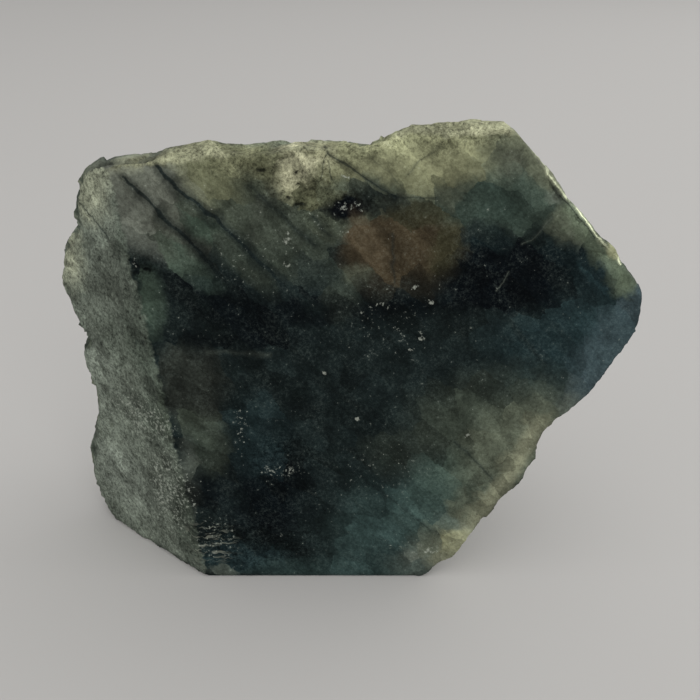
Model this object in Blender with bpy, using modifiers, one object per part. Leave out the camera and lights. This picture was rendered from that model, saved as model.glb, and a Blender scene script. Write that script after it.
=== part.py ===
"""Rough labradorite chunk: one broken piece of feldspar, 120 mm wide, sawn flat in front and below.

It stands on its sawn base. X runs across the sawn front from left to right, Y runs back and Z is up.
The broken sides follow the two cleavages of the feldspar, which meet at a right angle: one runs with
the sawn front, the other is the slope at its upper right.
"""

import math
import random

import bmesh
import bpy
from mathutils import Matrix, Quaternion, Vector, noise

MM = 0.001

# Driving sizes, in millimetres, before the chunk is moved onto its origin.
FRONT_LEAN = math.radians(8)
SLOPE_ANGLE = math.radians(47)
THICKNESS = 40.0
BLANK = 320.0

# The outer edge, as X and Z, clockwise from the left end of the base.
LEFT_RIM = [
    (-58, 0), (-61.5, 6.5), (-62.3, 11), (-61.8, 17.5), (-58.2, 29.5), (-57, 36), (-57.1, 41),
    (-59.4, 45), (-59, 46.8), (-54.2, 49.2), (-55.2, 51.6), (-58.5, 54.6), (-60, 59.5), (-61.4, 62.5),
    (-60.8, 67), (-59, 71), (-55, 75), (-54.4, 81), (-52.8, 86), (-50.3, 88.8), (-47, 90.7),
]
TOP_RIM = [
    (-43, 91.2), (-38.5, 91.6), (-34, 94.2), (-27.5, 94.6), (-22.5, 92.6), (-14, 92.5), (-10, 93.9),
    (-6, 93.2), (-1, 93.3), (3, 92.8), (8.5, 95.8), (15.5, 99), (23, 99), (27.6, 99.2),
]
RIGHT_SLOPE = [
    (31.3, 95.9), (38.5, 88.1), (40.8, 84.3), (45.6, 79.4), (48.8, 75.8), (50.6, 75.3), (52.6, 73.5),
    (52.6, 71.6), (56.2, 68.6),
]
NOSE = [(57.8, 66), (58.2, 60), (57.3, 57.5)]
LOWER_RIM = [
    (55.2, 54), (52.8, 49.8), (49.2, 43.2), (43, 38.9), (40.5, 35.2), (39.8, 31), (37.5, 27.5),
    (36.8, 24), (32.9, 20.5), (30.5, 16), (26.5, 11), (24.5, 7), (18, 1.5), (15.5, 0),
]

# The two cleavages, out to the slope and in from the front, and the way in which both run.
OUT = Vector((math.sin(SLOPE_ANGLE), 0, math.cos(SLOPE_ANGLE)))
IN = Vector((0, math.cos(FRONT_LEAN), -math.sin(FRONT_LEAN)))
ALONG = OUT.cross(IN).normalized()

# Flat faces that bound the chunk: a point on each and the way it faces.
SAWN_FRONT = (Vector((0, 0, 0)), -IN)
SAWN_BASE = (Vector((0, 0, 0)), Vector((0, 0, -1)))
LEFT_FACET = (Vector((-33.1, 0.6, 0)), Vector((-0.618, -0.786, 0.019)).normalized())
TOP_STRIP = (Vector((-45.3, 12.8, 90.7)), Vector((-0.068, -0.407, 0.912)).normalized())
BACK = (IN * THICKNESS, (IN + 0.04 * OUT).normalized())
UPPER_BACK = (Vector((0, 18.2, 96)), Vector((-0.04, 0.74, 0.67)).normalized())
LEFT_BACK = (Vector((-57, 31, 40)), Vector((-0.78, 0.62, 0.05)).normalized())
LOWER_BACK = (Vector((42, 13.5, 36)), Vector((0.68, 0.52, -0.51)).normalized())
SAWN_FACES = [SAWN_FRONT, SAWN_BASE]
BROKEN_FACES = [LEFT_FACET, TOP_STRIP, BACK, UPPER_BACK, LEFT_BACK, LOWER_BACK]

# Pieces that broke away along the cleavages. Each left an inner corner, at so much OUT, IN and ALONG,
# and took everything that lies on the open side of all its faces.
STAIRS = [(50, 34), (58, 30.5), (66, 24), (76, 18), (82.5, 11.5)]
BITES = [
    ((0, 26, 74), (IN, ALONG)),
    ((24, 33, 58), (IN, ALONG, OUT)),
    ((-16, 31, 40), (IN, -OUT)),
    ((-29, 24, 0), (IN, -OUT)),
    ((8, 34, 16), (IN, -OUT, -ALONG)),
    ((30, 27, 8), (IN, -ALONG)),
]
RIM_LEDGE = ((87, 2.4, 0), (OUT, -IN))
TILT = math.radians(7)

# The chip on the top edge: its lowest corner, and the two faces that meet there.
CHIP_CORNER = Vector((11.5, 12.4, 88))
CHIP_FACES = [Vector((0.26, -0.84, 0.47)), Vector((-0.2, -0.87, 0.45))]

# The grid that the rough surface is made on, what the saw takes off after it, and the final count.
VOXEL = 1.15
SAW_TRIM = 0.35
MOST_TRIANGLES = 9000

# Relief of the broken sides: the size of each kind of lump and how far it stands out, the size of the
# splinters between cleavages and how far they step, and how much of it the rim and left facet have.
LUMPS = [(17, 1.3), (7, 0.8), (3, 0.4)]
SPLINTER_WIDTH = 5.5
SPLINTER_LENGTH = 26.0
SPLINTER_STEP = 2.4
RIM_SHARE = 0.3
RIM_DEPTH = 5.0
INNER_DEPTH = 14.0
FACET_SHARE = 0.16


def clear_scene():
    for holder in list(bpy.data.objects):
        bpy.data.objects.remove(holder)


def mesh_of(holder):
    """A new mesh of the object as its modifiers leave it, with doubled points merged."""
    graph = bpy.context.evaluated_depsgraph_get()
    mesh = bpy.data.meshes.new_from_object(holder.evaluated_get(graph))
    shape = bmesh.new()
    shape.from_mesh(mesh)
    bmesh.ops.remove_doubles(shape, verts=shape.verts, dist=0.001)
    bmesh.ops.recalc_face_normals(shape, faces=shape.faces)
    shape.to_mesh(mesh)
    shape.free()
    return mesh


def outline_slab():
    """The outline, filled and drawn out along Y."""
    curve = bpy.data.curves.new("outline", "CURVE")
    curve.dimensions = "2D"
    curve.fill_mode = "BOTH"
    curve.extrude = BLANK / 2
    corners = LEFT_RIM + TOP_RIM + RIGHT_SLOPE + NOSE + LOWER_RIM
    spline = curve.splines.new("POLY")
    spline.points.add(len(corners) - 1)
    for point, (x, z) in zip(spline.points, corners):
        point.co = (x, z, 0, 1)
    spline.use_cyclic_u = True
    holder = bpy.data.objects.new("outline", curve)
    bpy.context.scene.collection.objects.link(holder)
    mesh = mesh_of(holder)
    bpy.data.objects.remove(holder)
    mesh.transform(Matrix.Rotation(math.pi / 2, 4, "X"))
    return mesh


def cut(shape, place, facing):
    """Takes off what lies beyond a plane, on the side it faces, and closes the cut."""
    parts = shape.verts[:] + shape.edges[:] + shape.faces[:]
    made = bmesh.ops.bisect_plane(shape, geom=parts, plane_co=place, plane_no=facing, clear_outer=True)
    rim = [part for part in made["geom_cut"] if isinstance(part, bmesh.types.BMEdge)]
    bmesh.ops.holes_fill(shape, edges=rim)


def cut_mesh(mesh, faces):
    shape = bmesh.new()
    shape.from_mesh(mesh)
    for place, facing in faces:
        cut(shape, place, facing)
    shape.to_mesh(mesh)
    shape.free()


def cutter(corner, facings, cutters):
    """A blank that reaches from one corner to the open side of all the faces that meet there."""
    shape = bmesh.new()
    bmesh.ops.create_cube(shape, size=BLANK, matrix=Matrix.Translation(corner))
    for facing in facings:
        cut(shape, corner, -facing)
    mesh = bpy.data.meshes.new("cutter")
    shape.to_mesh(mesh)
    shape.free()
    holder = bpy.data.objects.new("cutter", mesh)
    holder.hide_render = True
    holder.display_type = "WIRE"
    cutters.objects.link(holder)
    return holder


def tilted(facing, chance):
    """A direction turned a little, because no break follows its cleavage exactly."""
    axis = Vector([chance.uniform(-1, 1) for _ in range(3)]).normalized()
    return Quaternion(axis, chance.uniform(-TILT, TILT)) @ facing


def break_cutters(cutters):
    """One cutter for each piece that broke away."""
    chance = random.Random(5)
    stairs = [((out, inward, 0), (OUT, IN)) for out, inward in STAIRS]
    made = [cutter(CHIP_CORNER, CHIP_FACES, cutters)]
    for (out, inward, along), facings in stairs + BITES:
        corner = OUT * out + IN * inward + ALONG * along
        made.append(cutter(corner, [tilted(facing, chance) for facing in facings], cutters))
    (out, inward, along), facings = RIM_LEDGE
    made.append(cutter(OUT * out + IN * inward + ALONG * along, facings, cutters))
    return made


def modified(mesh, kind, **settings):
    """The mesh as one modifier leaves it."""
    holder = bpy.data.objects.new("modified", mesh)
    bpy.context.scene.collection.objects.link(holder)
    modifier = holder.modifiers.new("modifier", kind)
    for name, value in settings.items():
        setattr(modifier, name, value)
    result = mesh_of(holder)
    bpy.data.objects.remove(holder)
    return result


def on_grid(mesh):
    """The same skin, remade of small even faces."""
    return modified(mesh, "REMESH", mode="VOXEL", voxel_size=VOXEL)


def thinned(mesh):
    """The same skin with fewer triangles, most of them kept where it bends."""
    triangles = sum(len(face.vertices) - 2 for face in mesh.polygons)
    return modified(mesh, "DECIMATE", ratio=MOST_TRIANGLES / triangles)


def rough_block(cutters):
    """The outline, cut by its flat faces and by every break, on an even grid."""
    mesh = outline_slab()
    cut_mesh(mesh, SAWN_FACES + BROKEN_FACES)
    holder = bpy.data.objects.new("block", mesh)
    cutters.objects.link(holder)
    for tool in break_cutters(cutters):
        step = holder.modifiers.new("break", "BOOLEAN")
        step.operation = "DIFFERENCE"
        step.object = tool
    block = mesh_of(holder)
    bpy.data.objects.remove(holder)
    return on_grid(block)


def gap_to(face, point):
    """How far inside one flat face a point lies."""
    place, facing = face
    return (place - point).dot(facing)


def smooth_step(value, low, high):
    share = min(max((value - low) / (high - low), 0), 1)
    return share * share * (3 - 2 * share)


def broken_share(point, facing):
    """How strongly a point is roughened: none on the sawn faces, little on the left facet and rim."""
    for face in SAWN_FACES:
        if gap_to(face, point) < VOXEL and facing.dot(face[1]) > 0.8:
            return 0
    if gap_to(LEFT_FACET, point) < VOXEL and facing.dot(LEFT_FACET[1]) > 0.7:
        return FACET_SHARE
    inner = smooth_step(gap_to(SAWN_FRONT, point), RIM_DEPTH, INNER_DEPTH)
    return RIM_SHARE + (1 - RIM_SHARE) * inner


def lumps(point):
    """Sum of the lumps at a point, outwards where positive."""
    return sum(height * noise.noise(point / size) for size, height in LUMPS)


def splinters(point, facing):
    """The step of the splinter that a point is on, taken off along the cleavage that faces it."""
    wander = Vector([noise.noise(point / 15 + Vector((side, 5, 2))) for side in (0, 11, 23)]) * 0.5
    along = point.dot(ALONG) / SPLINTER_LENGTH
    out = point.dot(OUT) / SPLINTER_WIDTH
    inward = point.dot(IN) / SPLINTER_WIDTH
    back = noise.cell(Vector((out, along, 0.5)) + wander) * max(facing.dot(IN), 0)
    side = noise.cell(Vector((inward, along, 7.5)) + wander) * facing.dot(OUT)
    return -SPLINTER_STEP * (back * IN + 0.6 * side * OUT)


def roughen(mesh):
    """Gives the broken sides their splinters and lumps."""
    shape = bmesh.new()
    shape.from_mesh(mesh)
    shape.normal_update()
    places = []
    for vert in shape.verts:
        share = broken_share(vert.co, vert.normal)
        place = vert.co + vert.normal * lumps(vert.co) * share
        if share > RIM_SHARE:
            place += splinters(vert.co, vert.normal) * share
        places.append(place)
    for vert, place in zip(shape.verts, places):
        vert.co = place
    shape.to_mesh(mesh)
    shape.free()


def saw(mesh):
    """Trims the front and the base to true planes."""
    cut_mesh(mesh, [(place - facing * SAW_TRIM, facing) for place, facing in SAWN_FACES])


def stand_on_origin(mesh):
    """Puts the middle of the underside of the chunk's box on the origin, and turns it into metres."""
    corners = [vert.co for vert in mesh.vertices]
    low = Vector([min(corner[axis] for corner in corners) for axis in range(3)])
    high = Vector([max(corner[axis] for corner in corners) for axis in range(3)])
    middle = (low + high) / 2
    middle.z = low.z
    mesh.transform(Matrix.Scale(MM, 4) @ Matrix.Translation(-middle))


def labradorite():
    """Dark grey-green feldspar with the dull gloss of a sawn and rubbed face."""
    material = bpy.data.materials.new("labradorite")
    material.use_nodes = True
    gloss = material.node_tree.nodes["Principled BSDF"].inputs
    gloss["Base Color"].default_value = (0.055, 0.065, 0.052, 1)
    gloss["Roughness"].default_value = 0.5
    gloss["Metallic"].default_value = 0
    return material


def main():
    clear_scene()
    part = bpy.data.collections.new("rough_labradorite_chunk")
    cutters = bpy.data.collections.new("cutters")
    bpy.context.scene.collection.children.link(part)
    bpy.context.scene.collection.children.link(cutters)
    mesh = rough_block(cutters)
    roughen(mesh)
    mesh = thinned(on_grid(mesh))
    saw(mesh)
    stand_on_origin(mesh)
    mesh.materials.append(labradorite())
    part.objects.link(bpy.data.objects.new("labradorite_chunk", mesh))


main()
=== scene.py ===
"""Rough labradorite chunk: its sawn and broken skin, its colours, and the pale studio it stands in."""

import math

import bmesh
import bpy
from mathutils import Matrix, Vector, noise


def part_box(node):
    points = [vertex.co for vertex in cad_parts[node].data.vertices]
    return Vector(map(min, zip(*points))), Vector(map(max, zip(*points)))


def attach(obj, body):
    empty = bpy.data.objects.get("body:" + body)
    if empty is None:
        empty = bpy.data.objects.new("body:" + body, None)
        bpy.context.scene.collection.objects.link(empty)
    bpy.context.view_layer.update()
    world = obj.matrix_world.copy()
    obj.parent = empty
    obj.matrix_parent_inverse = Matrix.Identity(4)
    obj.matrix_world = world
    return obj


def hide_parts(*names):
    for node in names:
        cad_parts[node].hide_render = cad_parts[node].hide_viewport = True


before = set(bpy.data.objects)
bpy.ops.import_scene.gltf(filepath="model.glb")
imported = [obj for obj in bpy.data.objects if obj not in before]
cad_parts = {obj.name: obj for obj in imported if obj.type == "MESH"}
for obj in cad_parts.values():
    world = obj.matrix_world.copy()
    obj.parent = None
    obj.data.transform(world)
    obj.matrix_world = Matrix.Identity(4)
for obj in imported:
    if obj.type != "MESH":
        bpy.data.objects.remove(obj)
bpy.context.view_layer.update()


# The chunk's skin.
# One piece of labradorite, a plagioclase feldspar. A diamond saw cut its front and base, and the other
# sides were broken: they follow the feldspar's two cleavages in steps, with sugary grain between them.

MM = 0.001
SKIN_GRID = 0.615 * MM
FRONT_LEAN = math.radians(8)
SLOPE_ANGLE = math.radians(47)
low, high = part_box("labradorite_chunk")

# The stone's own directions: out through the right slope, in through the front, and along both.
OUT = Vector((math.sin(SLOPE_ANGLE), 0, math.cos(SLOPE_ANGLE)))
IN = Vector((0, math.cos(FRONT_LEAN), -math.sin(FRONT_LEAN)))
ALONG = OUT.cross(IN).normalized()

# A point on the sawn front, one on the left facet, and the way the facet faces, in millimetres.
FOOT = Vector((0, low.y, 0)) / MM
FACET_POINT = Vector((-30.9, -24.4, 0))
FACET_FACING = Vector((-0.618, -0.786, 0.019)).normalized()

# A point of the skin belongs to a flat side when it lies at most this deep behind it and faces at
# least this much the same way. The base is left as it was sawn, so the chunk rests as it is.
BASE_DEPTH, BASE_LIKENESS = 0.4, 0.7
FRONT_DEPTH, FRONT_LIKENESS = 0.7, 0.8
FACET_DEPTH, FACET_LIKENESS = 1.2, 0.7

# Sugary patches on the sawn front, where grains fell out of the saw's way: x, z, half width and
# half height in millimetres, and how deep the grain is there. Elsewhere it is as deep as SAW_MARKS.
SUGARY = [
    (-8, 88.7, 8, 7, 0.5), (4, 93.7, 6, 3.5, 0.45), (14, 96.2, 9, 4, 0.6), (27, 96.7, 6, 3, 0.5),
    (-18, 91.7, 9, 4, 0.35), (-4, 82.7, 8, 4, 0.15), (3, 83.2, 5, 2, 0.35), (-39.5, 70.8, 4, 3, 0.35),
    (-20, 9, 14, 6, 0.2), (-12, 30.8, 8, 4, 0.2),
]
SAW_MARKS = 0.06
FRONT_GRAIN, FRONT_CLUMP = 0.9, 2.7

# Single pits in the same measures, and how far their walls flare.
PITS = [
    (-7.3, 82.7, 1.1, 0.35, 1.0), (-5.6, 93, 1.2, 0.35, 0.8), (-7.6, 86.4, 0.5, 0.3, 0.7),
    (-9.4, 84.1, 0.4, 0.3, 0.7), (-7.9, 88.7, 0.3, 0.3, 0.6),
    (-14.5, 89.2, 0.7, 0.4, 0.6), (-12.5, 92.7, 0.6, 0.3, 0.6), (-37.5, 70.2, 0.6, 0.4, 0.6),
]
PIT_FLARE = 0.4

# The thin outer layer of the right slope stands back from the front: how far out it begins, how wide
# its step is, how wide the waves of its edge are, how far it stands back, and the heights between
# which it runs, with the fade at each.
RIM_LINE, RIM_STEP, RIM_WAVES = 88.4, 0.6, 4
RIM_SET_BACK = 1.3
RIM_TOP, RIM_FOOT, RIM_FADE = 90, 70, 4

# What is worn off the whole left facet, and how wide and deep its grains and its clumps are.
FACET_WEAR = 0.1
FACET_GRAINS = [(1.1, 0.6), (3.3, 0.5)]

# Grain, faces and chips on the broken sides, each with its size and depth. They are calmer near the
# front, and the blocks broke off longer along the cleavages than across them.
SIDE_GRAIN, SIDE_GRAIN_DEPTH = 1.2, 0.5
FACE_SIZE, FACE_DEPTH = 11, 2.6
CHIP_SIZE, CHIP_DEPTH = 4.5, 0.9
BLOCK_STRETCH = 1.8
BLOCK_STEP = 0.14
CALM_NEAR_FRONT, CALM_DEPTH = 0.4, 6

# A block's tilt, height and tone are drawn from its middle, each stretched by its own number so that
# the draws have nothing in common.
TILT_DRAW, HEIGHT_DRAW, TONE_DRAW = 9, 7, 5

# Patches and pits are at full depth out to the first share of their half size, and end at the second.
OVAL_FULL, OVAL_END = 0.5, 1.15
JOIN_GAP = 0.001 * MM


def smooth_step(value, start, end):
    """The share of the way from start to end, easing in and out."""
    share = min(max((value - start) / (end - start), 0), 1)
    return share * share * (3 - 2 * share)


def depth_of(place):
    """How far behind the sawn front a point lies, in millimetres."""
    return (place - FOOT).dot(IN)


def facet_gap(place):
    """How far inside the left facet a point lies, in millimetres."""
    return (FACET_POINT - place).dot(FACET_FACING)


def deepest_of(ovals, place, depth, margin=0.0):
    """The depth of the deepest oval at a point of the front, fading out at its rim."""
    for x, z, wide, tall, middle_depth in ovals:
        away = math.hypot((place.x - x) / (wide + margin), (place.z - z) / (tall + margin))
        depth = max(depth, middle_depth * (1 - smooth_step(away, OVAL_FULL, OVAL_END)))
    return depth


def grain(place, size):
    """Even grain from -0.5 to 0.5."""
    return 0.5 * noise.noise(place / size)


def block_at(place, size):
    """The place in the cleavages' own directions, and the middle of the block that it lies in."""
    own = Vector((place.dot(OUT), depth_of(place), place.dot(ALONG) / BLOCK_STRETCH)) / size
    return own, noise.voronoi(own)[1][0]


def broken_faces(place, size):
    """Flat faces of broken blocks, each with its own tilt and height, from about -0.5 to 0.5."""
    own, middle = block_at(place, size)
    tilt = noise.cell_vector(middle * TILT_DRAW) - Vector((0.5, 0.5, 0.5))
    return (own - middle).dot(tilt) + BLOCK_STEP * noise.cell(middle * HEIGHT_DRAW)


def lost_from_front(place):
    """What grain, pits and the thin layer of the right slope take off the sawn front."""
    rim = smooth_step(place.dot(OUT) + noise.noise(place / RIM_WAVES), RIM_LINE, RIM_LINE + RIM_STEP)
    rim *= (smooth_step(place.z, RIM_TOP, RIM_TOP - RIM_FADE)
            * smooth_step(place.z, RIM_FOOT, RIM_FOOT + RIM_FADE))
    sugar = deepest_of(SUGARY, place, SAW_MARKS)
    for width in (FRONT_GRAIN, FRONT_CLUMP):
        sugar *= 1 + 2 * grain(place, width)
    return sugar + deepest_of(PITS, place, 0, PIT_FLARE) + RIM_SET_BACK * rim


def lost_from_sides(place):
    """What grain, broken faces and chips take off the broken sides and the back."""
    lost = SIDE_GRAIN_DEPTH * grain(place, SIDE_GRAIN)
    lost += FACE_DEPTH * broken_faces(place, FACE_SIZE)
    lost += CHIP_DEPTH * broken_faces(place, CHIP_SIZE)
    return (1 - CALM_NEAR_FRONT * smooth_step(depth_of(place), CALM_DEPTH, 0)) * lost


def worn_away(place, facing):
    """How much is missing at a point of the skin, in millimetres: below nothing, it stands out."""
    if place.z < BASE_DEPTH and facing.z < -BASE_LIKENESS:
        return 0
    if depth_of(place) < FRONT_DEPTH and facing.dot(-IN) > FRONT_LIKENESS:
        return lost_from_front(place)
    if facet_gap(place) < FACET_DEPTH and facing.dot(FACET_FACING) > FACET_LIKENESS:
        return sum((depth * grain(place, width) for width, depth in FACET_GRAINS), FACET_WEAR)
    return lost_from_sides(place)


def merged_copy(node):
    """The solid's mesh with its loose triangles joined."""
    mesh = node.data.copy()
    shape = bmesh.new()
    shape.from_mesh(mesh)
    bmesh.ops.remove_doubles(shape, verts=shape.verts, dist=JOIN_GAP)
    shape.to_mesh(mesh)
    shape.free()
    return mesh


def on_grid(mesh):
    """The same skin on a grid that is fine enough for the grain."""
    holder = bpy.data.objects.new("skin grid", mesh)
    bpy.context.scene.collection.objects.link(holder)
    grid = holder.modifiers.new("grid", "REMESH")
    grid.mode = "VOXEL"
    grid.voxel_size = SKIN_GRID
    graph = bpy.context.evaluated_depsgraph_get()
    made = bpy.data.meshes.new_from_object(holder.evaluated_get(graph))
    bpy.data.objects.remove(holder)
    return made


def kept_inside(place):
    """The point, moved back into the solid's box where it stands out of it."""
    return Vector([min(max(place[axis], low[axis]), high[axis]) for axis in range(3)])


skin = on_grid(merged_copy(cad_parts["labradorite_chunk"]))
shape = bmesh.new()
shape.from_mesh(skin)
shape.normal_update()
worn = [worn_away(vert.co / MM, vert.normal) for vert in shape.verts]
# Each broken face has its own tone, from -1 to 1.
tones = [noise.cell(block_at(vert.co / MM, FACE_SIZE)[1] * TONE_DRAW) for vert in shape.verts]
for vert, lost in zip(shape.verts, worn):
    vert.co = kept_inside(vert.co - vert.normal * lost * MM)
for face in shape.faces:
    face.smooth = True
shape.to_mesh(skin)
shape.free()
# How deep each point is worn away; the material turns it into painted shade in the hollows.
hollow = skin.attributes.new("hollow", "FLOAT", "POINT")
hollow.data.foreach_set("value", worn)
face_tone = skin.attributes.new("face_tone", "FLOAT", "POINT")
face_tone.data.foreach_set("value", tones)

chunk = bpy.data.objects.new("stone_skin", skin)
bpy.context.scene.collection.objects.link(chunk)
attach(chunk, "root")
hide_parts("labradorite_chunk")


# The chunk's colours.
# Labradorite is grey-green and lets some light in where it is thin. That light is painted into its colour,
# olive and yellow at its edges, and its thick middle is almost black. A teal and blue sheen is painted in
# too, between dark cleavage cracks.

stone = bpy.data.materials.new("labradorite feldspar, sawn and broken")
stone.use_nodes = True
tree = stone.node_tree
# A Mix node's colour is its third output. The other settings are shared by many nodes.
MIXED = 2
PAINT = {"out": MIXED, "data_type": "RGBA"}
SMOOTH = {"interpolation_type": "SMOOTHSTEP", "clamp": False}


def linear(code):
    """The colour of a hex code as linear light, with full alpha."""
    parts = [int(code[place:place + 2], 16) / 255 for place in (1, 3, 5)]
    parts = [part / 12.92 if part <= 0.04045 else ((part + 0.055) / 1.055) ** 2.4 for part in parts]
    return (*parts, 1)


def add(kind, inputs, out=0, **settings):
    """Adds a node, sets or links its inputs, and gives back one of its outputs."""
    made = tree.nodes.new("ShaderNode" + kind)
    for name, value in settings.items():
        setattr(made, name, value)
    for name, value in inputs.items():
        if isinstance(value, bpy.types.NodeSocket):
            tree.links.new(value, made.inputs[name])
        else:
            made.inputs[name].default_value = value
    return made.outputs[out]


def strayed(place, size, reach, detail=1.0):
    """The place pushed about by a noise, so that an outline drawn with it wanders."""
    push = add("TexNoise", {"Vector": place, "Scale": 1 / size, "Detail": detail}, "Color", normalize=False)
    return add("VectorMath", {0: push, 1: (reach,) * 3, 2: place}, operation="MULTIPLY_ADD")


# The cleavage frame: X across the cracks that run down the front, Z along them, Y into the stone.
CLEAVED = {"Rotation": (0, -(math.pi / 2 - SLOPE_ANGLE), 0)}

# Clouds in the stone, and its grit, in millimetres. The real grit is finer and would not show, so it
# is drawn coarser.
CLOUD, GRIT = 6, 0.7

objects_own = add("TexCoord", {}, "Object")
place = add("VectorMath", {0: objects_own, "Scale": 1 / MM}, operation="SCALE")
cloud = add("TexNoise", {"Vector": place, "Scale": 1 / CLOUD, "Detail": 4.0, "Roughness": 0.6})
grit = add("TexNoise", {"Vector": place, "Scale": 1 / GRIT, "Detail": 2.0, "Roughness": 0.9})
jittered = strayed(place, 1.3, 0.45)
wandering = strayed(jittered, 8, 1.9, 3.0)

# The inside is a mosaic of blocks that broke along the cleavages, so a colour changes in small steps.
# Blocks, streaks and bands are this many millimetres across, deep and along, and a patch's outline
# follows the blocks by this share.
BLOCK = (4, 9, 8)
STREAK = (0.6, 3, 14)
BAND = (4, 12, 30)
BLOCK_SHARE = 0.28
blocks = add("Mapping", {"Vector": jittered, "Scale": BLOCK, **CLEAVED}, vector_type="TEXTURE")
blocks = add("TexVoronoi", {"Vector": blocks, "Scale": 1.0}).node.outputs
block_middle = add("Mapping", {"Vector": blocks["Position"], "Scale": BLOCK, **CLEAVED})
stepped = add("Mix", {0: BLOCK_SHARE, 4: wandering, 5: block_middle}, 1, data_type="VECTOR")

streaked = add("Mapping", {"Vector": jittered, "Scale": STREAK, **CLEAVED}, vector_type="TEXTURE")
streaks = add("TexNoise", {"Vector": streaked, "Scale": 1.0, "Detail": 2.0})
banded = add("Mapping", {"Vector": wandering, "Scale": BAND, **CLEAVED}, vector_type="TEXTURE")
bands = add("TexNoise", {"Vector": banded, "Scale": 1.0, "Detail": 2.0})


def from_front(around, turns=(0,)):
    """The place as seen from the front, without its depth, once for each turn in degrees."""
    flat = add("VectorMath", {0: around, 1: (1, 0, 1)}, operation="MULTIPLY")
    return {turn: add("Mapping", {"Vector": flat, "Rotation": (0, math.radians(turn), 0)})
            for turn in turns}


def oval(views, x, z, wide, tall, turn=0, strength=0.9, soft=0.4):
    """The share of an oval, given by its middle on the front and its half sizes in millimetres."""
    size = Vector((wide, 1, tall))
    middle = Matrix.Rotation(math.radians(turn), 3, "Y") @ Vector((x, 0, z))
    shrunk = [1 / side for side in size]
    moved = [-at / side for at, side in zip(middle, size)]
    own = add("VectorMath", {0: views[turn], 1: shrunk, 2: moved}, operation="MULTIPLY_ADD")
    away = add("VectorMath", {0: own}, "Value", operation="LENGTH")
    return add("MapRange", {"Value": away, "From Min": 1 + soft, "From Max": 1 - soft, "To Max": strength},
               **SMOOTH)


sharp_view = from_front(jittered)
calm_view = from_front(strayed(place, 3.5, 0.5, 3.0))
loose_view = from_front(wandering)
block_view = from_front(stepped, (-45, -30, -15, 0, 15, 30, 45))

# Its colours as they look on its shaded side. SHADE_GAIN turns them into the stone's own colours.
BLACK, INK, DEEP_TEAL = linear("#020508"), linear("#101717"), linear("#091315")
# The blue haze colour stands for painted sheen.
BLUE_GREY, BLUE_TEAL, SHEEN_HAZE = linear("#1c2a2c"), linear("#2b3a38"), linear("#364245")
SEA_GREEN, LILAC_GREY, DARK_GREY = linear("#3a463c"), linear("#54574f"), linear("#33362f")
OLIVE, DARK_OLIVE, BROWN_GREY = linear("#4b5043"), linear("#2f352d"), linear("#20231f")
STRAW, MOSS, SUGAR, PALE = linear("#6e6f55"), linear("#4f513d"), linear("#a9a88b"), linear("#858769")
RUSSET, PINK_RUSSET, RUST_OLIVE = linear("#2d271c"), linear("#362f23"), linear("#2a291c")
GREY, PALE_GREY, DARK_MOSS = linear("#565c53"), linear("#858874"), linear("#3a4139")
RIM_GOLD, TEAL = linear("#6f705c"), linear("#29342e")
SLOPE_GREEN, EDGE_LIGHT_CREAM = linear("#56604f"), linear("#b4b99c")
FACET_GREY, STRIP_STRAW = linear("#747b71"), linear("#74755f")
SCUFF_GREY, SAW_DUST, DUST = linear("#4f5751"), linear("#8f9284"), linear("#8f9389")
SHADE_GAIN = 1.5

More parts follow.
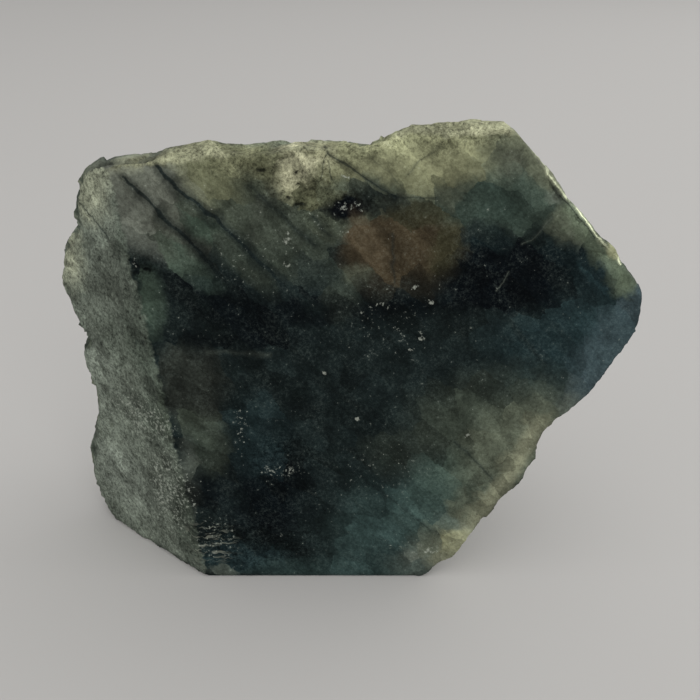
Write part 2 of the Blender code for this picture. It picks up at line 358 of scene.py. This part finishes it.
# The sawn front, first in the colour of its thick middle, then patch by patch: colour, x, z, half
# width and half height in millimetres, turn in degrees, and how strong and how soft it is.
colour = INK
FRONT_PATCHES = [
    # The yellow and olive top, which is thin enough to let light in: that light is painted here.
    (OLIVE, 2, 88, 58, 10, 0, 1.0, 0.5),
    (STRAW, 5, 92, 42, 7, 0, 0.85, 0.6),
    (MOSS, -25, 87, 6, 4, -45, 0.7),
    (PALE, -5.6, 87.8, 5, 4, 0, 0.8),
    (SUGAR, -7.5, 90.6, 6.5, 5, 0, 0.95),
    (MOSS, -13, 91.5, 3, 5, 0, 0.9),
    (DARK_OLIVE, -16.5, 85.5, 3.5, 5, 45, 0.8),
    (DARK_GREY, -13, 83, 2.6, 4, -15, 0.5),
    (DARK_GREY, -14, 78, 5, 4.5, 0, 0.9),
    (MOSS, -3, 83, 4.5, 6, 0, 0.9, 0.3),
    (DARK_OLIVE, -1.5, 84.7, 2.5, 2.4, 0, 0.4),
    (STRAW, -3.4, 93.2, 2.6, 2, 0, 0.6),
    (MOSS, -1.3, 89.8, 2, 2.2, 0, 0.6),
    (DARK_OLIVE, -1.5, 79.5, 5, 2.6, 0, 0.85),
    (DARK_OLIVE, -9, 75.5, 8, 6, -45, 0.8),
    (DARK_OLIVE, 0, 66, 4, 5, 0, 0.7),
    (INK, -4.5, 69.5, 5, 2.6, -30, 0.55),
    (PALE, 15, 95.4, 8, 2.6, 0, 0.45),
    (PALE, 28, 96, 6, 2.6, -15, 0.15),
    (PALE, 22, 91.8, 3.5, 2, 0, 0.8),
    (STRAW, 20, 91.5, 9, 3, 15, 0.3, 0.3),
    (PALE, 5, 92.4, 5, 2.4, 0, 0.95),
    (PALE, -19, 93.3, 4, 2, 0, 0.7),
    (MOSS, 15, 87.3, 6, 2.4, 0, 0.55),
    (MOSS, 28, 91.5, 4, 3, 0, 0.7),
    (DARK_OLIVE, 5.5, 86.2, 7, 2, 0, 0.85),
    (INK, 9.8, 83.2, 8, 2, -15, 0.85),
    # The grey top left corner and the green lenses between its cracks.
    (LILAC_GREY, -38, 86, 9, 12, 45, 0.9),
    (PALE_GREY, -40.3, 92, 4.2, 2.8, 0, 0.9),
    (DARK_GREY, -31, 77, 7, 4.5, -45, 0.8),
    (DARK_OLIVE, -28.4, 82.2, 3, 2.4, -45, 0.95),
    (DARK_OLIVE, -19.3, 81, 4, 2.6, -45, 0.8),
    (SEA_GREEN, -25.5, 78.4, 4.4, 2.6, -15, 1.0),
    (SEA_GREEN, -30.5, 72.2, 5.5, 2.6, -45, 0.7),
    (DARK_OLIVE, -34.5, 75.5, 3.5, 1.8, -45, 0.7),
    (DARK_OLIVE, -18, 73, 8, 4, -45, 0.7),
    (BLACK, -21.5, 62.6, 13, 4, -30, 0.85, 0.5),
    (TEAL, -25, 67, 3, 1.6, -30, 0.4),
    (BLACK, -6, 62.5, 8.5, 3, 0, 0.8, 0.6),
    # The right shoulder, with painted teal sheen.
    (OLIVE, 34, 89, 9, 5, -45, 0.8),
    (DARK_GREY, 32.5, 90, 4, 2.6, -45, 0.6),
    (TEAL, 26, 83, 10, 4.5, 0, 0.95),
    (TEAL, 35, 82, 8, 6, -30, 0.85),
    (OLIVE, 21.5, 85.6, 3.5, 1.8, 0, 0.6),
    (OLIVE, 45.5, 80, 4.5, 5, -45, 0.9, 0.25),
    (GREY, 41, 85.5, 1.8, 2.6, -45, 0.6),
    (DEEP_TEAL, 46, 72, 10, 4.5, -30, 0.8),
    (BLUE_GREY, 50.8, 69.3, 4, 2.4, -45, 0.7),
    (BLACK, 1.4, 82.4, 4.2, 1.9, 15, 1.0),
    # The red-brown window.
    (RUSSET, 13, 73, 12, 8.5, 0, 1.0, 0.2),
    (RUST_OLIVE, 16, 81.6, 6, 2, 0, 0.8),
    (PINK_RUSSET, 5, 76, 4, 6, 15, 0.9, 0.3),
    (RUST_OLIVE, 21.5, 74, 3.5, 6, 0, 0.9),
    (OLIVE, 3.5, 69, 3, 2.2, 0, 0.6),
    (BLACK, 13, 63, 13, 2.2, 0, 0.8, 0.6),
    (INK, 12, 66.5, 10, 2.5, 0, 0.6, 0.6),
    # The dark middle and its blue and teal sheen, which is painted into the colour.
    (BLUE_GREY, 48, 55, 16, 10, 15, 0.8, 0.6),
    (SHEEN_HAZE, 54, 53, 5, 9, -30, 0.6, 0.6),
    (SHEEN_HAZE, 50.5, 44, 6, 4, 30, 0.85, 0.6),
    (BLACK, 34, 69.5, 11, 6, -15, 1.0),
    (DEEP_TEAL, 28, 76.8, 5, 2.6, 0, 0.8),
    (BLACK, 30, 66, 10, 4, 0, 1.0),
    (SHEEN_HAZE, 59, 63.5, 3, 4, 0, 0.8),
    (GREY, 47.5, 41.5, 3, 2.5, 30, 0.6),
    (DARK_OLIVE, 30, 43, 14, 6, 15, 0.5, 0.6),
    (DARK_OLIVE, 26, 37, 8, 6, 30, 0.8, 0.6),
    (SEA_GREEN, 22, 20, 11, 7, 45, 0.75, 0.6),
    (SEA_GREEN, 22, 12, 6, 5, 45, 0.6, 0.6),
    (GREY, 24, 13.5, 4, 5, 45, 0.5),
    (OLIVE, 36, 33, 13, 7.5, 45, 0.8, 0.5),
    (BLUE_TEAL, 12, 15, 14, 9, 30, 0.75, 0.6),
    (GREY, 19, 5, 7, 5, 30, 0.9, 0.6),
    (DARK_OLIVE, 13, 31, 7, 5, 0, 0.35, 0.6),
    (OLIVE, 23, 8, 5, 5, 45, 0.8, 0.6),
    (PALE, 25, 8.8, 2.8, 3.2, 0, 0.9),
    (OLIVE, 27.5, 18, 3, 3.5, 0, 0.7),
    (BLACK, -15, 21, 8, 12, -15, 0.9, 0.6),
    (DARK_OLIVE, -27.5, 30, 4, 5, 0, 0.6, 0.3),
    (BROWN_GREY, -30, 45.5, 7, 9, 0, 0.9, 0.3),
    (SEA_GREEN, -37.5, 64, 2.5, 6, 0, 0.8, 0.6),
    (GREY, -32.5, 25, 2, 8, 0, 0.45, 0.6),
    (BLACK, -20, 56, 13, 1.6, 0, 0.7, 0.6),
    (BLUE_GREY, -16.5, 35, 6, 9, 0, 0.35, 0.4),
    (BLACK, -30, 22, 5, 5, 0, 0.7, 0.4),
    (DARK_OLIVE, -29, 37, 5, 3.5, 0, 0.7, 0.4),
    (BLUE_GREY, -23, 5, 9, 4, 0, 0.7, 0.6),
    (GREY, -26.5, 1, 3, 1.5, 0, 0.4),
    (BLUE_TEAL, 3, 1.5, 20, 3, 0, 0.6, 0.6),
]
for paint, *shape in FRONT_PATCHES:
    colour = add("Mix", {0: oval(block_view, *shape), 6: colour, 7: paint}, **PAINT)
uncracked = colour

# A line is wider and narrower along its way, and nothing of it is left this far from it.
fading = add("MapRange", {"Value": cloud, "From Min": 0.35, "From Max": 0.65, "To Min": 0.75,
                          "To Max": 1.6}, **SMOOTH)
FAR = 9.0


def line(points, half_width, edge, core):
    """The share of a line through points on the front: faint at its edge and strong at its core."""
    view = calm_view[0]
    nearest = FAR
    for (x, z), (next_x, next_z) in zip(points, points[1:]):
        run = Vector((next_x - x, 0, next_z - z))
        own = add("VectorMath", {0: view, 1: (x, 0, z)}, operation="SUBTRACT")
        along = add("VectorMath", {0: own, 1: run / run.length_squared}, "Value", operation="DOT_PRODUCT")
        along = add("Math", {0: along, 1: 0.0}, operation="MAXIMUM")
        along = add("Math", {0: along, 1: 1.0}, operation="MINIMUM")
        reached = add("VectorMath", {0: run, "Scale": along}, operation="SCALE")
        away = add("VectorMath", {0: own, 1: reached}, "Value", operation="DISTANCE")
        nearest = add("Math", {0: nearest, 1: away}, operation="MINIMUM")
    nearest = add("Math", {0: nearest, 1: fading}, operation="MULTIPLY")
    faint = {"Value": nearest, "From Min": 1.5 * half_width, "From Max": 0.3 * half_width, "To Max": edge}
    strong = {"Value": nearest, "From Min": 0.5 * half_width, "From Max": 0.15 * half_width, "To Max": core}
    shares = {0: add("MapRange", faint, **SMOOTH), 1: add("MapRange", strong, **SMOOTH)}
    return add("Math", shares, operation="MAXIMUM")


# Cleavage cracks, dark because light is lost in them: points in x and z, half width, edge and core.
CRACKS = [
    ([(-40.3, 88.2), (-33.2, 80.4), (-30.5, 78), (-22.7, 68.7), (-20, 65.5)], 1.3, 0.5, 0.9),
    ([(-35.3, 92.3), (-29.6, 85.4), (-22.9, 79.7), (-19, 75.8), (-10.6, 67), (-3.7, 62)], 1.5, 0.6, 0.95),
    ([(-6.5, 95.7), (-1.9, 92.8), (2.8, 89.3), (5.3, 87.8), (10.8, 84.5)], 0.8, 0.45, 0.8),
    ([(2.8, 94.4), (6.2, 91.5), (11.7, 86.7)], 0.5, 0.1, 0.3),
    ([(10.8, 84.5), (19, 84.2)], 0.8, 0.25, 0.55),
    ([(-1.9, 92.8), (-3.6, 87.8)], 0.3, 0.3, 0.7),
    ([(-1.8, 91), (-1.5, 87.5)], 0.3, 0.3, 0.7),
    ([(-4.8, 80.9), (-1.4, 77.1)], 1.0, 0.3, 0.6),
    ([(-16.8, 86.2), (-9.3, 79.6), (-5, 75.1)], 1.0, 0.4, 0.6),
    ([(-34.8, 69.6), (-26, 62.5)], 1.1, 0.5, 0.8),
    ([(-15, 50.4), (-4.7, 37.9)], 0.8, 0.4, 0.7),
    ([(33.2, 60.8), (41, 51.3)], 0.9, 0.3, 0.5),
    ([(24.5, 33.3), (35.8, 21.4)], 0.7, 0.3, 0.6),
    ([(1.2, 27.7), (22.1, 10.5)], 0.6, 0.3, 0.5),
    ([(10.4, 77.5), (10.7, 67.5)], 0.5, 0.3, 0.5),
    ([(13, 88.3), (15.3, 90.9), (18.9, 93.4)], 0.7, 0.2, 0.4),
    ([(-5, 37), (-4.4, 12)], 0.9, 0.3, 0.4),
    ([(56.3, 71.6), (59.6, 68)], 0.9, 0.4, 0.9),
]
for crack in CRACKS:
    colour = add("Mix", {0: line(*crack), 6: colour, 7: INK}, **PAINT)

# Pale scratches, in the same measures, and the dark floors of the pits.
SCRATCHES = [
    ([(40.9, 80.3), (37.2, 76.2), (35.4, 75.1)], 0.4, 0.1, 0.35),
    ([(33.2, 69.8), (31, 66)], 0.4, 0.1, 0.35),
    ([(-26.7, 53.1), (-23.1, 53.3), (-14, 52.5)], 0.6, 0.1, 0.15),
]
for scratch in SCRATCHES:
    colour = add("Mix", {0: line(*scratch), 6: colour, 7: GREY}, **PAINT)
for *pit, _ in PITS:
    colour = add("Mix", {0: oval(sharp_view, *pit, 0, 0.8, 0.5), 6: colour, 7: BLACK}, **PAINT)

# The lower right rim is thin again and lets light in, which is painted as a golden line.
RIM = [(41.5, 37), (40, 34), (37.2, 27), (32.5, 19.8), (27.5, 11), (23, 4.5)]
colour = add("Mix", {0: line(RIM, 3.0, 0.55, 0.65), 6: colour, 7: RIM_GOLD}, **PAINT)

# The right slope is green. Its outer edge is a thin layer painted bright with light, which a dark crack sets
# off, with a pale knob below it.
SLOPE = [(44, 82), (51, 74), (54.8, 70), (56.5, 67.5)]
BRIGHT_EDGE = [
    (30.5, 98.1), (34.1, 95.4), (38.4, 90.8), (41.4, 86.1), (46.3, 81.2), (50.6, 76.3), (55, 71.5),
]
EDGE_CRACK = [(42, 84.6), (44.7, 81.9), (49.5, 76.6)]
colour = add("Mix", {0: line(SLOPE, 2.4, 0.7, 0.8), 6: colour, 7: SLOPE_GREEN}, **PAINT)
colour = add("Mix", {0: line(BRIGHT_EDGE, 0.5, 0.25, 0.95), 6: colour, 7: EDGE_LIGHT_CREAM}, **PAINT)
colour = add("Mix", {0: line(EDGE_CRACK, 0.4, 0.3, 0.7), 6: colour, 7: BLACK}, **PAINT)
colour = add("Mix", {0: oval(sharp_view, 54, 74.2, 2, 1.6), 6: colour, 7: PALE}, **PAINT)

# What lies further back: cracks and pits end first, then the front's colours, each fading between
# two depths. The broken sides are mossy grey, each broken face in its own tone.
CRACK_END, CRACK_FADE = 3.5, 1.2
FRONT_END, FRONT_FADE = 9, 1.5
depth = add("VectorMath", {0: jittered, 1: tuple(IN)}, "Value", operation="DOT_PRODUCT")
depth = add("Math", {0: depth, 1: FOOT.dot(IN)}, operation="SUBTRACT")
shallow = add("MapRange", {"Value": depth, "From Min": CRACK_END, "From Max": CRACK_FADE}, **SMOOTH)
colour = add("Mix", {0: shallow, 6: uncracked, 7: colour}, **PAINT)
clouded = add("MapRange", {"Value": cloud, "From Min": 0.3, "From Max": 0.75}, **SMOOTH)
broken = add("Mix", {0: clouded, 6: DARK_MOSS, 7: GREY}, **PAINT)
tones = add("Attribute", {}, "Fac", attribute_name="face_tone")
tones = add("MapRange", {"Value": tones, "From Min": -1.0, "To Min": 0.75, "To Max": 1.25}, **SMOOTH)
broken = add("VectorMath", {0: broken, "Scale": tones}, operation="SCALE")
mossy = add("MapRange", {"Value": bands, "From Min": 0.5, "From Max": 0.72}, **SMOOTH)
broken = add("Mix", {0: mossy, 6: broken, 7: OLIVE}, **PAINT)
fronts_own = add("MapRange", {"Value": depth, "From Min": FRONT_END, "From Max": FRONT_FADE}, **SMOOTH)
colour = add("Mix", {0: fronts_own, 6: broken, 7: colour}, **PAINT)

# The left facet and a blunt strip of the front next to it are dull grey, darker towards the front.
# The patches have the same measures as the front's, seen from the front.
faded = GREY
FACET_PATCHES = [
    (PALE_GREY, -50, 87, 6, 8, 0, 0.65, 0.5),
    (PALE_GREY, -57.5, 72, 4.5, 11, 0, 0.8, 0.6),
    (DARK_MOSS, -40.5, 77, 3, 6, 0, 0.6, 0.6),
    (PALE_GREY, -41, 92, 5, 4, 0, 0.7, 0.6),
    (FACET_GREY, -50, 16, 9, 8, 0, 0.5, 0.6),
    (FACET_GREY, -54, 42, 4, 10, 0, 0.35, 0.6),
    (DARK_MOSS, -39, 60, 4, 12, 0, 0.7, 0.6),
    (DARK_MOSS, -46, 52, 5, 6, 0, 0.4, 0.6),
    (DARK_MOSS, -37, 44, 5, 14, 0, 0.8, 0.6),
    (DARK_OLIVE, -34.5, 40, 3, 9, 0, 0.8, 0.6),
    (DARK_OLIVE, -32, 16, 2.5, 9, 0, 0.6, 0.6),
    (DARK_MOSS, -33.5, 14, 3, 16, 0, 0.7, 0.6),
    # Painted shade: a dark band along the facet's foot, where it meets the floor.
    (INK, -39, -3, 13, 3.4, 0, 0.7, 0.6),
]
# A crack near the facet's top with a pale lip, and how deep the facet's colour goes in all and at
# full strength.
FACET_CRACK = [(-52, 82), (-48.4, 79), (-45.3, 75.5)]
FACET_LIP = [(-52.9, 81.4), (-49.3, 78.4)]
FACET_END, FACET_FULL = 0.9, 0.3
for paint, *shape in FACET_PATCHES:
    faded = add("Mix", {0: oval(loose_view, *shape), 6: faded, 7: paint}, **PAINT)
gap = add("VectorMath", {0: jittered, 1: tuple(FACET_FACING)}, "Value", operation="DOT_PRODUCT")
gap = add("Math", {0: FACET_POINT.dot(FACET_FACING), 1: gap}, operation="SUBTRACT")
on_facet = add("MapRange", {"Value": gap, "From Min": FACET_END, "From Max": FACET_FULL}, **SMOOTH)
faded = add("Mix", {0: line(FACET_CRACK, 0.6, 0.35, 0.75), 6: faded, 7: INK}, **PAINT)
faded = add("Mix", {0: line(FACET_LIP, 0.4, 0.3, 0.6), 6: faded, 7: PALE_GREY}, **PAINT)
colour = add("Mix", {0: on_facet, 6: colour, 7: faded}, **PAINT)

# The crumbled strip along the top edge: a point on it, the way it faces, and how deep its colour goes
# in all and at full strength.
STRIP_POINT = Vector((-43.1, -12.2, 90.3))
STRIP_FACING = Vector((-0.068, -0.407, 0.912)).normalized()
STRIP_LEVEL = STRIP_POINT.dot(STRIP_FACING)
STRIP_DEPTH, STRIP_FULL = 1.2, 0.2
above = add("VectorMath", {0: jittered, 1: tuple(STRIP_FACING)}, "Value", operation="DOT_PRODUCT")
on_strip = add("MapRange", {"Value": above, "From Min": STRIP_LEVEL - STRIP_DEPTH,
                            "From Max": STRIP_LEVEL - STRIP_FULL}, **SMOOTH)
colour = add("Mix", {0: on_strip, 6: colour, 7: STRIP_STRAW}, **PAINT)

# Bands, streaks, blocks and clouds shade it; painted shade darkens its hollows and lightens what stands out.
# The two values of each pattern between which the shade changes, and how light the stone is at each.
hollow_shade = add("Attribute", {}, "Fac", attribute_name="hollow")
SHADES = [
    (bands, 0.3, 0.7, 0.85, 1.15),
    (streaks, 0.3, 0.7, 0.92, 1.08),
    (blocks["Color"], 0.2, 0.8, 0.8, 1.2),
    (cloud, 0.35, 0.65, 0.72, 1.28),
    (hollow_shade, -0.5, 0.9, 1.25, 0.7),
]
for pattern, start, end, start_light, end_light in SHADES:
    shade = add("MapRange", {"Value": pattern, "From Min": start, "From Max": end,
                             "To Min": start_light, "To Max": end_light}, **SMOOTH)
    colour = add("VectorMath", {0: colour, "Scale": shade}, operation="SCALE")

# Grit and clumps of grains shade it too, most where the stone is sugary.
CLUMP = 1.6
sugary = add("Math", {0: on_facet, 1: on_strip}, operation="MAXIMUM")
for *shape, _ in SUGARY:
    sugary = add("Math", {0: sugary, 1: oval(loose_view, *shape)}, operation="MAXIMUM")
grain_gain = add("MapRange", {"Value": sugary, "To Min": 1.5, "To Max": 3.2})
grain_shade = add("Math", {0: grit, 1: 0.5}, operation="SUBTRACT")
grain_shade = add("Math", {0: grain_shade, 1: grain_gain, 2: 1.0}, operation="MULTIPLY_ADD")
clump_gain = add("Math", {0: sugary, 1: 1.2}, operation="MULTIPLY")
clumps = add("TexNoise", {"Vector": place, "Scale": 1 / CLUMP, "Detail": 3.0, "Roughness": 0.75})
clumps = add("Math", {0: clumps, 1: 0.5}, operation="SUBTRACT")
grain_shade = add("Math", {0: clumps, 1: clump_gain, 2: grain_shade}, operation="MULTIPLY_ADD")
colour = add("VectorMath", {0: colour, "Scale": grain_shade}, operation="SCALE")

# A thin veil of scuffs and dust greys it in clouds.
veiled = add("MapRange", {"Value": cloud, "From Min": 0.42, "From Max": 0.6, "To Min": 0.03, "To Max": 0.18},
             **SMOOTH)
veil = add("MapRange", {"Value": grit, "From Min": 0.42, "From Max": 0.76, "To Max": veiled}, **SMOOTH)
colour = add("Mix", {0: veil, 6: colour, 7: SCUFF_GREY}, **PAINT)

# The saw left level marks, which hold pale dust near the foot of the ridge. They are drawn this
# many millimetres wide, deep and tall, which is coarser than a real blade's marks.
SAW_MARK = (4, 2, 0.45)
levelled = add("VectorMath", {0: jittered, 1: [1 / side for side in SAW_MARK]}, operation="MULTIPLY")
marks = add("TexNoise", {"Vector": levelled, "Scale": 1.0, "Detail": 2.0})
marks = add("MapRange", {"Value": marks, "From Min": 0.54, "From Max": 0.66}, **SMOOTH)
sawn = add("Math", {0: marks, 1: oval(loose_view, -28.7, 8.6, 5.5, 4.8, 0, 0.3, 0.5)}, operation="MULTIPLY")
colour = add("Mix", {0: sawn, 6: colour, 7: SAW_DUST}, **PAINT)

# Saw dust and bruised grains, pale and loose: x, z, half width, half height, how much.
DUSTY = [
    (-41.7, 36, 8, 6, 0.62), (-37, 20, 6, 13, 0.62), (-28, 10, 6, 6, 0.4), (-12.5, 26.5, 5, 1.6, 0.5),
    (-20.5, 36, 1.6, 7, 0.45), (-2, 80, 5, 4, 0.3), (-15, 72, 9, 6, 0.25), (10, 59, 12, 8, 0.25),
    (10, 26, 9, 8, 0.25), (18, 8, 9, 3, 0.3), (2, 82.5, 3.5, 1.4, 0.5),
    (-10, 76.4, 0.8, 1.5, 0.9), (-10.2, 71.5, 0.6, 0.9, 0.8), (18.3, 63.8, 0.9, 0.5, 1),
    (1.5, 88.4, 1, 0.7, 0.9), (1.1, 82.3, 0.7, 0.6, 0.9),
    (15.2, 66.9, 0.9, 0.5, 1), (8.4, 63.4, 0.5, 0.6, 1), (18.9, 69, 0.5, 0.5, 0.8),
    (16.4, 56.4, 0.8, 0.8, 0.9), (14.3, 53.8, 0.5, 0.5, 0.9), (27, 34.8, 0.6, 0.6, 1),
    (-39.7, 71.4, 0.6, 0.9, 0.9), (-2.9, 48.7, 0.6, 0.5, 1), (19.9, 6.7, 1.8, 0.6, 0.8),
    (3.7, 38.7, 0.5, 0.5, 1),
]
STRAY_DUST = 0.05
POWDER = 0.7
dusty = STRAY_DUST
for *shape, much in DUSTY:
    dusty = add("Math", {0: dusty, 1: oval(sharp_view, *shape, 0, much, 0.6)}, operation="MAXIMUM")
near = add("Math", {0: shallow, 1: on_facet}, operation="MAXIMUM")
dusty = add("Math", {0: dusty, 1: near}, operation="MULTIPLY")
powder = add("TexNoise", {"Vector": place, "Scale": 1 / POWDER, "Detail": 2.0, "Roughness": 0.7})
powder = add("Math", {0: dusty, 1: 0.3, 2: powder}, operation="MULTIPLY_ADD")
dust = add("MapRange", {"Value": powder, "From Min": 0.7, "From Max": 0.86, "To Max": 0.6}, **SMOOTH)
colour = add("Mix", {0: dust, 6: colour, 7: DUST}, **PAINT)
albedo = add("VectorMath", {0: colour, "Scale": SHADE_GAIN}, operation="SCALE")

# Grit and streaks roughen the skin a little. The sawn front is rubbed smoother than the broken sides.
RELIEF = 0.2 * MM
FRONT_DULLNESS, SIDE_DULLNESS = 0.5, 0.7
height = add("Math", {0: grit, 1: streaks}, operation="ADD")
relief = add("Bump", {"Height": height, "Strength": 0.5, "Distance": RELIEF})
dullness = add("MapRange", {"Value": shallow, "To Min": SIDE_DULLNESS, "To Max": FRONT_DULLNESS})

# Feldspar bends light by 1.56, but saw scratches and grain leave the stone hardly any gloss.
shader = tree.nodes["Principled BSDF"].inputs
tree.links.new(albedo, shader["Base Color"])
tree.links.new(relief, shader["Normal"])
tree.links.new(dullness, shader["Roughness"])
shader["IOR"].default_value = 1.56
shader["Specular IOR Level"].default_value = 0.03
chunk.data.materials.clear()
chunk.data.materials.append(stone)


# The studio.
# A wide floor of matt paper, which is pale and hardly mirrors the chunk, with soft light from a
# window behind, from the ceiling and from the front.

FLOOR_SIZE = 6.0
floor_shape = bmesh.new()
bmesh.ops.create_grid(floor_shape, x_segments=1, y_segments=1, size=FLOOR_SIZE / 2)
floor_mesh = bpy.data.meshes.new("studio_floor")
floor_shape.to_mesh(floor_mesh)
floor_shape.free()
floor = bpy.data.objects.new("studio_floor", floor_mesh)
bpy.context.scene.collection.objects.link(floor)

paper = bpy.data.materials.new("matt paper")
paper.use_nodes = True
paper_gloss = paper.node_tree.nodes["Principled BSDF"].inputs
paper_gloss["Base Color"].default_value = linear("#c6c4c1")
paper_gloss["Roughness"].default_value = 0.9
paper_gloss["Specular IOR Level"].default_value = 0.2
floor.data.materials.append(paper)


def soft_light(name, width, power, spot, aim):
    """A square soft box that faces a point."""
    lamp = bpy.data.lights.new(name, "AREA")
    lamp.size = width
    lamp.energy = power
    holder = bpy.data.objects.new(name, lamp)
    bpy.context.scene.collection.objects.link(holder)
    holder.location = spot
    holder.rotation_euler = (Vector(aim) - Vector(spot)).to_track_quat("-Z", "Y").to_euler()


STONE_MIDDLE = (0, 0, 0.05)
ROOM_LIGHT = 0.6
soft_light("window behind", 1.2, 4.5, (1.1, 0.5, 0.8), STONE_MIDDLE)
soft_light("ceiling", 1.4, 3, (0.1, -0.2, 1.4), STONE_MIDDLE)
soft_light("front fill", 1.0, 5, (0.3, -1.2, 0.6), STONE_MIDDLE)

world = bpy.data.worlds.new("room")
bpy.context.scene.world = world
world.use_nodes = True
world.node_tree.nodes["Background"].inputs["Color"].default_value = (1, 1, 1, 1)
world.node_tree.nodes["Background"].inputs["Strength"].default_value = ROOM_LIGHT

# The camera looks down on the chunk from close by, straight at its sawn front. Its focal length is
# given in pixels of the square image.
CAMERA_PLACE = Vector((2.2, -168.1, 135.6)) * MM
CAMERA_DROP = math.radians(28.43)
SENSOR_WIDTH = 36
IMAGE_SIDE = 700
FOCAL_PIXELS = 851.5
lens = bpy.data.cameras.new("camera")
lens.sensor_width = SENSOR_WIDTH
lens.lens = SENSOR_WIDTH * FOCAL_PIXELS / IMAGE_SIDE
lens.clip_start = 0.01
camera = bpy.data.objects.new("camera", lens)
bpy.context.scene.collection.objects.link(camera)
camera.location = CAMERA_PLACE
camera.rotation_euler = (math.pi / 2 - CAMERA_DROP, 0, 0)
bpy.context.scene.camera = camera
bpy.context.scene.view_settings.view_transform = "Standard"
